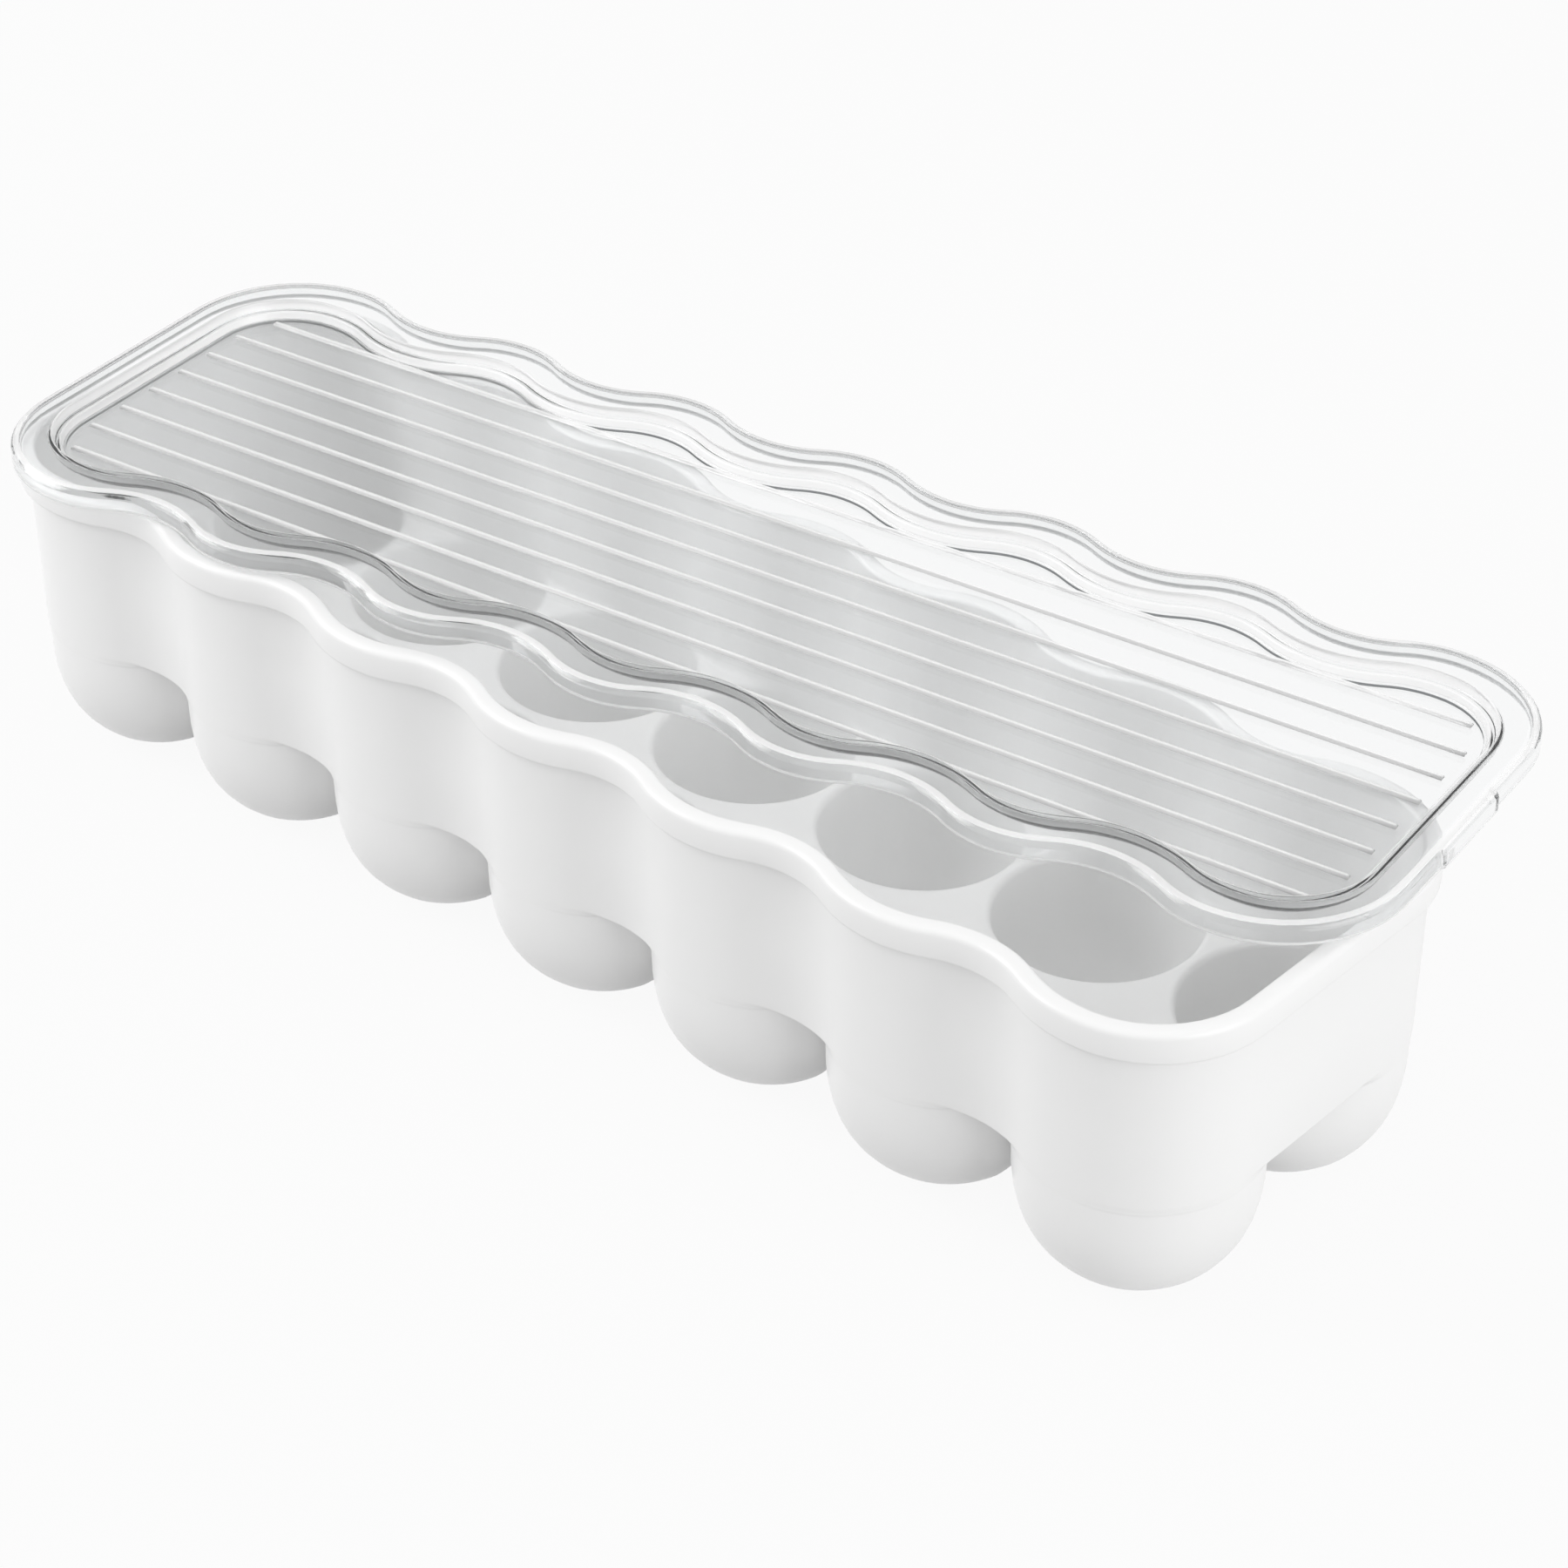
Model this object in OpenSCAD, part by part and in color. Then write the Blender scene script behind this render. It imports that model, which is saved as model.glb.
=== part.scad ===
// Two-row storage tray with round-bottomed cups and a clear lift-off lid.
// The lid lies on the rim a little turned and shifted back, as when it is half taken off.

/* [Cups] */
// Cups in one row
cups_long = 7; // [3:1:9]
// Distance between cup centres along a row
cup_pitch = 52; // [48:0.5:60]
// Distance between the two rows of cups
row_pitch = 52; // [48:0.1:60]
// Outer radius of a cup where it meets the tray's wall
cup_r = 26.4; // [24:0.1:26.4]
// Radius of the flat spot that a cup stands on
foot_r = 7; // [4:0.5:10]
// Height over which a cup's flank curves in to its foot
bowl_h = 30; // [20:1:34]
// Fullness of the bowl's curve, where 2 is an ellipse
bowl_power = 2.5; // [2:0.1:3]

/* [Tray] */
// Height of the tray from the feet to the rim
tray_h = 81.5; // [60:0.5:100]
// Height at which the cups' flanks join into one wall
web_h = 33.5; // [32:0.5:44]
// Wall thickness of the tray
wall = 2; // [1.2:0.1:2.4]
// Half width of the mouth at a lobe's crest
mouth_half_w = 51; // [50:0.5:56]
// Depth of the scallops between two lobes
scallop = 6; // [3:0.5:7]
// Share of the scallop's curve that the lobe takes
lobe_share = 0.5; // [0.35:0.01:0.6]
// Distance from the last cup's centre to the end of the mouth
end_reach = 25.1; // [24:0.1:32]
// Radius of the mouth's corners
corner_r = 24; // [16:1:24]

/* [Rim] */
// How far the rim band stands out from the mouth
rim_out = 4.5; // [4:0.1:6]
// Height of the rim band
rim_h = 8; // [4:0.5:10]

/* [Lid] */
// Half width of the lid at a lobe's crest
lid_half_w = 60; // [58:0.5:64]
// Half length of the lid
lid_half_l = 187; // [186:0.5:196]
// Radius of the lid's corners
lid_corner_r = 31; // [16:1:34]
// Depth of the scallops in the lid's edge
lid_scallop = 6.5; // [3:0.5:7]
// Wall thickness of the lid
lid_wall = 1.6; // [1.2:0.1:2.2]
// Height of the lid from the panel's underside to the top of the raised band
lid_h = 6.1; // [4:0.1:9]
// Height of the lid's outer skirt
lid_skirt_h = 5.2; // [3:0.1:6]
// Gap between the closed lid's panel and the mouth
lid_gap = 0.4; // [0.3:0.1:1]
// Stiffening ribs on the panel
rib_count = 8; // [2:1:8]
// Distance between two ribs
rib_pitch = 11; // [6:0.1:11.5]
// Width of a rib
rib_w = 1.6; // [1:0.1:3]
// Height of a rib above the panel
rib_h = 0.8; // [0.4:0.1:1.5]
// Distance from the end of an inner rib to the end of the panel
rib_end_gap = 6.3; // [3:0.1:30]
// How much shorter the two outer ribs are at each end
rib_step = 3.7; // [0:0.1:10]
// Width of the finger tab at the lid's right end
tab_w = 26; // [16:1:40]
// How far the finger tab stands out
tab_out = 0.8; // [0.4:0.1:2]

/* [Resting place of the lid] */
// Turn of the resting lid, seen from above
lid_turn = 8.1; // [0:0.1:9]
// Shift of the resting lid along the tray
lid_shift_x = -1.4; // [-4:0.1:4]
// Shift of the resting lid across the tray
lid_shift_y = 20.8; // [-22:0.1:22]
// Air gap between the rim and the resting lid's panel
lid_rest_gap = 0.05; // [0.02:0.01:0.5]

/* [Quality] */
// Steps along one arc of the scalloped outline
arc_steps = 6; // [3:1:12]
// Steps along a bowl's curve
bowl_steps = 7; // [5:1:16]
// Facets per full turn of round shapes
facets = 48; // [24:4:96]

/* [Hidden] */
$fn = facets;
joint_overlap = 0.5;
row_half_l = (cups_long - 1) / 2 * cup_pitch;
mouth_half_l = row_half_l + end_reach;
saddle_h = web_h + wall;
cavity_r = cup_r - wall;
panel_half_l = mouth_half_l - lid_gap - lid_wall;
lid_base = tray_h + lid_rest_gap;
panel_top = lid_base + lid_wall;
lid_top = lid_base + lid_h;
mouth = [mouth_half_w, mouth_half_l, corner_r, scallop];
lid_edge = [lid_half_w, lid_half_l, lid_corner_r, lid_scallop];

// An outline's shape is given as [half width, half length, corner radius, depth of the scallops].
// Radius sum of the two arcs that make one half of a scallop, crest to waist
function arc_sum(depth) = (pow(cup_pitch / 2, 2) + pow(depth, 2)) / (2 * depth);

// Points along an arc about a centre, from angle a to angle b
function arc(c, r, a, b, steps) = [
    for (i = [0 : steps])
    let (t = a + (b - a) * i / steps)
    [c[0] + r * cos(t), c[1] + r * sin(t)]
];

// Points of one scalloped long side, at the +Y side, running from +X to -X
function side_points(shape, out) =
    let (
        sum = arc_sum(shape[3]),
        crest_r = sum * lobe_share + out,
        waist_r = sum * (1 - lobe_share) - out,
        half_turn = asin(cup_pitch / 2 / sum),
        crest_y = shape[0] + out - crest_r,
        waist_y = shape[0] + out - shape[3] + waist_r
    )
    [
        for (i = [cups_long - 1 : -1 : 0])
        let (x = i * cup_pitch - row_half_l)
        each concat(
            arc([x, crest_y], crest_r,
                i == cups_long - 1 ? 90 : 90 - half_turn,
                i == 0 ? 90 : 90 + half_turn, arc_steps),
            i == 0 ? [] : [
                for (s = [1 : arc_steps - 1])
                let (t = half_turn - 2 * half_turn * s / arc_steps)
                [x - cup_pitch / 2 + waist_r * sin(t), waist_y - waist_r * cos(t)]
            ]
        )
    ];

// Closed outline of a shape, moved outwards by out
function outline(shape, out) =
    let (
        corner_x = shape[1] - shape[2],
        corner_y = shape[0] - shape[2],
        right_corner = arc([max(corner_x, row_half_l + 0.1), corner_y],
            shape[2] + out, 0, 90, arc_steps),
        top = concat(
            right_corner,
            side_points(shape, out),
            [for (i = [arc_steps : -1 : 0]) [-right_corner[i][0], right_corner[i][1]]]
        )
    )
    concat(top, [for (i = [len(top) - 1 : -1 : 0]) [top[i][0], -top[i][1]]]);

// Corners of the finger tab at the lid's right end
function tab_points() = [for (side = [-1, 1]) [lid_half_l + tab_out, side * tab_w / 2]];

// Place of a lid point at rest, seen from above
function lid_point(p) = [
    p[0] * cos(lid_turn) - p[1] * sin(lid_turn) + lid_shift_x,
    p[0] * sin(lid_turn) + p[1] * cos(lid_turn) + lid_shift_y
];

// Everything is shifted so that the origin lies under the middle of the whole part's box
all_points = concat(
    outline(mouth, rim_out),
    [for (p = concat(outline(lid_edge, 0), tab_points())) lid_point(p)]
);
all_x = [for (p = all_points) p[0]];
all_y = [for (p = all_points) p[1]];
shift = [-(max(all_x) + min(all_x)) / 2, -(max(all_y) + min(all_y)) / 2, 0];

// Radius of a bowl at height z, for an outer radius r and a bowl height h
function bowl_r(z, r, h) = z >= h ? r : r * pow(1 - pow(1 - z / h, bowl_power), 1 / bowl_power);

// Solid of revolution of a bowl, from its flat foot up to the given height
module bowl(r, foot, curve_h, top) {
    low = 0.6;
    rotate_extrude()
    polygon(concat(
        [[0, 0], [foot, 0]],
        [
            for (i = [0 : bowl_steps])
            let (z = low + (curve_h - low) * pow(i / bowl_steps, 1.6))
            [max(foot + low, bowl_r(z, r, curve_h)), z]
        ],
        [[r, top], [0, top]]
    ));
}

module at_cups() {
    for (i = [0 : cups_long - 1], side = [-1, 1]) {
        translate([i * cup_pitch - row_half_l, side * row_pitch / 2, 0]) children();
    }
}

module prism(shape, out, from_z, to_z) {
    translate([0, 0, from_z]) linear_extrude(to_z - from_z) polygon(outline(shape, out));
}

module egg_tray() {
    color("white")
    translate(shift)
    difference() {
        union() {
            at_cups() bowl(cup_r, foot_r, bowl_h, web_h + joint_overlap);
            prism(mouth, wall, web_h, tray_h);
            prism(mouth, rim_out, tray_h - rim_h, tray_h);
        }
        translate([0, 0, wall])
        at_cups() bowl(cavity_r, foot_r - wall / 2, bowl_h - wall, web_h + joint_overlap);
        prism(mouth, 0, saddle_h, tray_h + joint_overlap);
    }
}

// Solid outer form of the lid: the skirt's edge on top, the panel's tray below it
module lid_body() {
    prism(lid_edge, 0, lid_top - lid_skirt_h, lid_top);
    prism(mouth, -lid_gap, lid_base, lid_top);
    translate([lid_half_l - lid_corner_r, -tab_w / 2, lid_top - lid_skirt_h])
    cube([lid_corner_r + tab_out, tab_w, lid_skirt_h]);
}

// Channel under the lid's raised band
module lid_channel() {
    difference() {
        prism(lid_edge, -lid_wall, lid_top - lid_skirt_h - joint_overlap, lid_top - lid_wall);
        prism(mouth, -lid_gap, lid_base, lid_top);
    }
}

module rib(half_l) {
    linear_extrude(lid_wall / 2 + rib_h)
    union() {
        square([2 * half_l, rib_w], center = true);
        for (side = [-1, 1]) translate([side * half_l, 0]) circle(d = rib_w);
    }
}

module lid_ribs() {
    for (i = [0 : rib_count - 1]) {
        outer = i == 0 || i == rib_count - 1;
        translate([0, (i - (rib_count - 1) / 2) * rib_pitch, panel_top - lid_wall / 2])
        rib(panel_half_l - rib_end_gap - (outer ? rib_step : 0));
    }
}

module lid() {
    color([0.86, 0.9, 0.92, 0.35])
    translate(shift)
    translate([lid_shift_x, lid_shift_y, 0])
    rotate(lid_turn)
    union() {
        difference() {
            lid_body();
            lid_channel();
            prism(mouth, -lid_gap - lid_wall, panel_top, lid_top + joint_overlap);
        }
        lid_ribs();
    }
}

egg_tray();
lid();
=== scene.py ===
"""White two-row storage tray with a clear ribbed lid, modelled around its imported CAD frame."""

import math

import bmesh
import bpy
from mathutils import Euler, Matrix, Vector


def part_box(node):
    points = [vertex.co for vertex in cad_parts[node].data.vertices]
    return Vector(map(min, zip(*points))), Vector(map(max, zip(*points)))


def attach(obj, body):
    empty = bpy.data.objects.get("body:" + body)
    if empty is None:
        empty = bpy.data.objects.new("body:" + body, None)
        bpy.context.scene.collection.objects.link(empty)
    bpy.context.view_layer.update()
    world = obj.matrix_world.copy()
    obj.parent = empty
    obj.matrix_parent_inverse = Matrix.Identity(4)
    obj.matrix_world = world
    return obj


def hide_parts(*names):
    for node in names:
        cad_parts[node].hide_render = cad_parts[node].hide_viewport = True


bl_info = {
    "name": "Cup Tray and Lid",
    "version": (1, 0, 0),
    "blender": (4, 5, 0),
    "location": "View3D > Sidebar > Cup Tray",
    "description": "Builds a scalloped two-row cup tray, its clear ribbed lid and a plain stage",
    "category": "Object",
}

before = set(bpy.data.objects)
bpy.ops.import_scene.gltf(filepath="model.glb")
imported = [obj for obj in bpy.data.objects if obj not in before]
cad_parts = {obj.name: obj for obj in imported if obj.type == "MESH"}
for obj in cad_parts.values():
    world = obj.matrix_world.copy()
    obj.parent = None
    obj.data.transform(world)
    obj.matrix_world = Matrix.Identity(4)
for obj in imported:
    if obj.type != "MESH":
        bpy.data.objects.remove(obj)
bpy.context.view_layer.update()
TRAY_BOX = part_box("egg_tray")
LID_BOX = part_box("lid")

MM = 0.001
RIGHT_ANGLE = math.pi / 2
MERGE_DISTANCE = 2e-6
# Kinds of lid face: the white kind carries a painted highlight on the ribs and the band's roundings,
# standing in for the light the clear plastic catches there.
CLEAR_FACE, PAINTED_HIGHLIGHT_FACE, PANEL_TOP, PANEL_UNDERSIDE = range(4)


# Sizes and colours


class TraySizes(bpy.types.PropertyGroup):
    """Sizes of the tray"""

    cups_in_row: bpy.props.IntProperty(
        name="Cups in a row", description="Cups along one row", default=7, min=3
    )
    cup_pitch: bpy.props.FloatProperty(
        name="Cup pitch", description="Distance between two cup axes", default=0.052, unit="LENGTH"
    )
    half_width: bpy.props.FloatProperty(
        name="Half width of the mouth", description="From the centre line to a lobe's crest",
        default=0.051, unit="LENGTH",
    )
    scallop: bpy.props.FloatProperty(
        name="Scallop depth", description="Depth of the waist between two lobes",
        default=0.006, unit="LENGTH",
    )
    end_reach: bpy.props.FloatProperty(
        name="End reach", description="From the last cup's axis to the mouth's end",
        default=0.0251, unit="LENGTH",
    )
    corner_radius: bpy.props.FloatProperty(
        name="Corner radius", description="Radius of the mouth's corners", default=0.024, unit="LENGTH"
    )
    dome_radius: bpy.props.FloatProperty(
        name="Dome radius", description="Largest outer radius of a cup", default=0.027, unit="LENGTH"
    )
    cavity_radius: bpy.props.FloatProperty(
        name="Cavity radius", description="Largest inner radius of a cup", default=0.0242, unit="LENGTH"
    )
    dome_height: bpy.props.FloatProperty(
        name="Dome height", description="Height of the curved part of a cup", default=0.030, unit="LENGTH"
    )
    fullness: bpy.props.FloatProperty(
        name="Fullness", description="Power of the dome's curve, where 2 is an ellipse", default=2.5
    )
    wall: bpy.props.FloatProperty(
        name="Wall", description="Wall thickness", default=0.002, unit="LENGTH"
    )
    web_height: bpy.props.FloatProperty(
        name="Web height", description="Height of the web's underside between the cups",
        default=0.0335, unit="LENGTH",
    )
    rim_out: bpy.props.FloatProperty(
        name="Rim band", description="How far the rim band stands out from the mouth",
        default=0.0045, unit="LENGTH",
    )
    rim_height: bpy.props.FloatProperty(
        name="Rim height", description="Height of the rim band", default=0.0078, unit="LENGTH"
    )


class LidSizes(bpy.types.PropertyGroup):
    """Sizes of the lid"""

    half_width: bpy.props.FloatProperty(
        name="Half width", description="From the centre line to a lobe's crest",
        default=0.05975, unit="LENGTH",
    )
    half_length: bpy.props.FloatProperty(
        name="Half length", description="From the middle to the end", default=0.18675, unit="LENGTH"
    )
    corner_radius: bpy.props.FloatProperty(
        name="Corner radius", description="Radius of the lid's corners", default=0.03075, unit="LENGTH"
    )
    scallop: bpy.props.FloatProperty(
        name="Scallop depth", description="Depth of the waist between two lobes",
        default=0.0065, unit="LENGTH",
    )
    wall: bpy.props.FloatProperty(
        name="Wall", description="Wall thickness", default=0.0016, unit="LENGTH"
    )
    skirt_height: bpy.props.FloatProperty(
        name="Skirt height", description="Height of the lid's outer skirt", default=0.0052, unit="LENGTH"
    )
    ledge_height: bpy.props.FloatProperty(
        name="Ledge height", description="Height of the ledge above the panel",
        default=0.0021, unit="LENGTH",
    )
    rib_count: bpy.props.IntProperty(name="Ribs", description="Ribs on the panel", default=8, min=2)
    rib_pitch: bpy.props.FloatProperty(
        name="Rib pitch", description="Distance between two ribs", default=0.011, unit="LENGTH"
    )
    rib_width: bpy.props.FloatProperty(
        name="Rib width", description="Width of a rib", default=0.0016, unit="LENGTH"
    )
    rib_height: bpy.props.FloatProperty(
        name="Rib height", description="Height of a rib above the panel", default=0.0008, unit="LENGTH"
    )
    rib_half_length: bpy.props.FloatProperty(
        name="Rib half length", description="Half the length of an inner rib",
        default=0.1728, unit="LENGTH",
    )
    rib_step: bpy.props.FloatProperty(
        name="Rib step", description="How much shorter the outer ribs are at each end",
        default=0.0037, unit="LENGTH",
    )
    tab_width: bpy.props.FloatProperty(
        name="Tab width", description="Width of the finger tab", default=0.026, unit="LENGTH"
    )
    tab_out: bpy.props.FloatProperty(
        name="Tab depth", description="How far the finger tab stands out", default=0.0008, unit="LENGTH"
    )
    turn: bpy.props.FloatProperty(
        name="Turn", description="Turn of the resting lid", default=math.radians(8.1), subtype="ANGLE"
    )
    shift: bpy.props.FloatVectorProperty(
        name="Shift", description="Shift of the resting lid from the tray's middle", size=2,
        default=(-0.0014, 0.0208), subtype="XYZ", unit="LENGTH",
    )


class Finishes(bpy.types.PropertyGroup):
    """Colours and gloss of the two plastics and the stage"""

    tray_colour: bpy.props.FloatVectorProperty(
        name="Tray", description="Colour of the tray", size=3,
        default=(0.92, 0.92, 0.918), subtype="COLOR", min=0, max=1,
    )
    tray_roughness: bpy.props.FloatProperty(
        name="Tray roughness", description="Roughness of the tray's surface",
        default=0.3, subtype="FACTOR", min=0, max=1,
    )
    lid_colour: bpy.props.FloatVectorProperty(
        name="Lid", description="Tint of the clear lid", size=3,
        default=(0.985, 0.99, 0.992), subtype="COLOR", min=0, max=1,
    )
    lid_depth_colour: bpy.props.FloatVectorProperty(
        name="Lid depth colour", description="Colour that a long way through the lid's plastic takes on",
        size=3, default=(0.7, 0.71, 0.715), subtype="COLOR", min=0, max=1,
    )
    lid_depth: bpy.props.FloatProperty(
        name="Lid depth", description="How fast the lid's plastic takes on its depth colour, per metre",
        default=40, min=0,
    )
    lid_roughness: bpy.props.FloatProperty(
        name="Lid roughness", description="Roughness of the lid's surface",
        default=0.06, subtype="FACTOR", min=0, max=1,
    )
    lid_index: bpy.props.FloatProperty(
        name="Lid refraction", description="Index of refraction of the clear plastic", default=1.49
    )
    # Painted highlight: the ribs and the band's roundings are painted partly white in this colour, by
    # this share, to stand in for the light the clear plastic catches there.
    painted_highlight_colour: bpy.props.FloatVectorProperty(
        name="Ribs", description="Colour of the light scattered by the ribs", size=3,
        default=(0.97, 0.97, 0.97), subtype="COLOR", min=0, max=1,
    )
    painted_highlight_share: bpy.props.FloatProperty(
        name="Rib whiteness", description="Share of the light that the ribs scatter",
        default=0.65, subtype="FACTOR", min=0, max=1,
    )
    floor_colour: bpy.props.FloatVectorProperty(
        name="Floor", description="Colour of the floor", size=3,
        default=(0.55, 0.55, 0.55), subtype="COLOR", min=0, max=1,
    )


class StageSizes(bpy.types.PropertyGroup):
    """Camera, floor and light"""

    lens: bpy.props.FloatProperty(
        name="Lens", description="Focal length in millimetres", default=93.2, unit="CAMERA"
    )
    camera_place: bpy.props.FloatVectorProperty(
        name="Camera", description="Place of the camera", size=3,
        default=(0.5434, -0.5912, 0.5735), subtype="TRANSLATION", unit="LENGTH",
    )
    camera_azimuth: bpy.props.FloatProperty(
        name="Camera azimuth", description="Turn of the camera round the object",
        default=math.radians(41.771), subtype="ANGLE",
    )
    camera_elevation: bpy.props.FloatProperty(
        name="Camera elevation", description="Angle of the view above the horizon",
        default=math.radians(34.294), subtype="ANGLE",
    )
    floor_size: bpy.props.FloatProperty(
        name="Floor size", description="Side of the floor", default=6.0, unit="LENGTH"
    )
    key_power: bpy.props.FloatProperty(
        name="Key lamp", description="Power of the lamp on the left", default=12, unit="POWER"
    )
    fill_power: bpy.props.FloatProperty(
        name="Fill lamp", description="Power of the lamp on the right", default=13.5, unit="POWER"
    )
    back_power: bpy.props.FloatProperty(
        name="Back lamp", description="Power of the lamp behind", default=2, unit="POWER"
    )
    soft_light: bpy.props.FloatProperty(
        name="Soft light", description="Strength of the soft light from all round", default=0.7, min=0
    )


# Outlines


def arc(centre, radius, start, end, steps):
    """Points of an arc in a plane, from one angle to another, both ends included."""
    return [
        (
            centre[0] + radius * math.cos(start + (end - start) * i / steps),
            centre[1] + radius * math.sin(start + (end - start) * i / steps),
        )
        for i in range(steps + 1)
    ]


def scalloped_half(shape, lobes, pitch, end_stops, corner_steps=12, arc_steps=8):
    """Stations (point, outward normal) of the +Y half of an outline, from its +X end to its -X end.

    shape is (half width, half length, corner radius, depth of the scallops). The second result lists
    the indices of the waists between two lobes.
    """
    half_width, half_length, corner_radius, depth = shape
    row_half = (lobes - 1) / 2 * pitch
    shortest_run = 0.1 * MM
    radius_sum = ((pitch / 2) ** 2 + depth**2) / (2 * depth)
    radius = radius_sum / 2
    half_turn = math.asin(pitch / 2 / radius_sum)
    crest_y = half_width - radius
    waist_y = half_width - depth + radius
    corner_x = max(half_length - corner_radius, row_half + shortest_run)
    corner_y = half_width - corner_radius

    end = [(Vector((corner_x + corner_radius, stop)), Vector((1, 0))) for stop in end_stops]
    for i in range(corner_steps + 1):
        angle = RIGHT_ANGLE * i / corner_steps
        normal = Vector((math.cos(angle), math.sin(angle)))
        end.append((Vector((corner_x, corner_y)) + corner_radius * normal, normal))

    run = []
    waists = []
    for lobe in range(lobes):
        x = row_half - lobe * pitch
        first = 0 if lobe == 0 else -half_turn
        last = 0 if lobe == lobes - 1 else half_turn
        steps = round(arc_steps * (last - first) / half_turn)
        for i in range(steps + 1):
            angle = RIGHT_ANGLE + first + (last - first) * i / steps
            normal = Vector((math.cos(angle), math.sin(angle)))
            run.append((Vector((x, crest_y)) + radius * normal, normal))
        if lobe == lobes - 1:
            break
        for i in range(1, 2 * arc_steps):
            angle = half_turn * (1 - i / arc_steps)
            normal = Vector((-math.sin(angle), math.cos(angle)))
            run.append((Vector((x - pitch / 2, waist_y)) - radius * normal, normal))
            if i == arc_steps:
                waists.append(len(end) + len(run) - 1)
    mirrored = [(Vector((-p.x, p.y)), Vector((-n.x, n.y))) for p, n in reversed(end)]
    return end + run + mirrored, waists


def closed_outline(half):
    """The whole outline from its +Y half: the -Y half is the mirror image."""
    lower = [(Vector((p.x, -p.y)), Vector((n.x, -n.y))) for p, n in reversed(half[1:-1])]
    return half + lower


def flat_point(flat, height):
    return Vector((flat[0], flat[1], height))


def once(elements):
    """Each mesh element once, in a fixed order."""
    return list(dict.fromkeys(elements))


def grow_loop(mesh, layer, loop, position):
    """Extrudes a run of edges, puts each new vertex where its station says, and returns the new run."""
    made = bmesh.ops.extrude_edge_only(mesh, edges=loop)["geom"]
    new_vertices = {g for g in made if isinstance(g, bmesh.types.BMVert)}
    for vertex in new_vertices:
        vertex.co = position(vertex[layer])
    return [g for g in made if isinstance(g, bmesh.types.BMEdge) and new_vertices.issuperset(g.verts)]


# Tray

# A moulded wall leans a little. These are added to its distance from the mouth's outline.
OUTER_LEAN = {"foot": -0.1 * MM, "middle": 0.05 * MM, "top": 0.2 * MM}
INNER_LEAN = {"foot": -0.9 * MM, "middle": -0.4 * MM}

FILLET_STEPS = 4
FILLET_ANGLES = [RIGHT_ANGLE * i / FILLET_STEPS for i in range(FILLET_STEPS + 1)]


class CupSkin:
    """One face of the cups and the web: the domes outside, or the cavities inside."""

    FOOT_ANGLE = 0.19
    JOIN_GAP = 0.05 * MM
    JOIN_SHARPNESS = 200
    EDGE_SHARE = 0.45

    def __init__(self, radius, base, curve_height, web, wall_out, edge, fullness):
        self.radius = radius
        self.base = base
        self.curve_height = curve_height
        self.web = web
        self.wall_out = wall_out
        self.edge = edge
        self.fullness = fullness

    def bowl(self, steps):
        """(share of the radius, height) of the curve from the flat foot up to the straight flank."""
        power = 2 / self.fullness
        foot = 1 - math.cos(self.FOOT_ANGLE) ** power
        rings = []
        for i in range(steps + 1):
            angle = self.FOOT_ANGLE + (RIGHT_ANGLE - self.FOOT_ANGLE) * i / steps
            rise = (1 - math.cos(angle) ** power - foot) / (1 - foot)
            rings.append((math.sin(angle) ** power, self.base + self.curve_height * rise))
        return rings

    def reach(self, boundary):
        """The cup's radius towards a point on its boundary: round, but just short of that point."""
        limit = boundary.length - self.JOIN_GAP
        sharpness = self.JOIN_SHARPNESS
        return self.radius * (1 + (self.radius / limit) ** sharpness) ** (-1 / sharpness)

    def spread(self, walls, far, seam_steps):
        """Each station's end on the web, the cup's radius there, and the radius of the wall's edge."""
        ends = []
        radii = []
        edges = []
        for point, normal in walls:
            out = point + normal * self.wall_out
            radii.append(self.reach(out))
            edges.append(min(self.edge, self.EDGE_SHARE * (out.length - radii[-1])))
            ends.append(out - normal * edges[-1])
        turns = [ends[-1], *far, ends[0]]
        for start, stop, steps in zip(turns, turns[1:], seam_steps):
            ends += [start.lerp(stop, i / steps) for i in range(1, steps + 1)]
        ends.pop()
        radii += [self.reach(end) for end in ends[len(radii) :]]
        return ends, radii, edges


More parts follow.
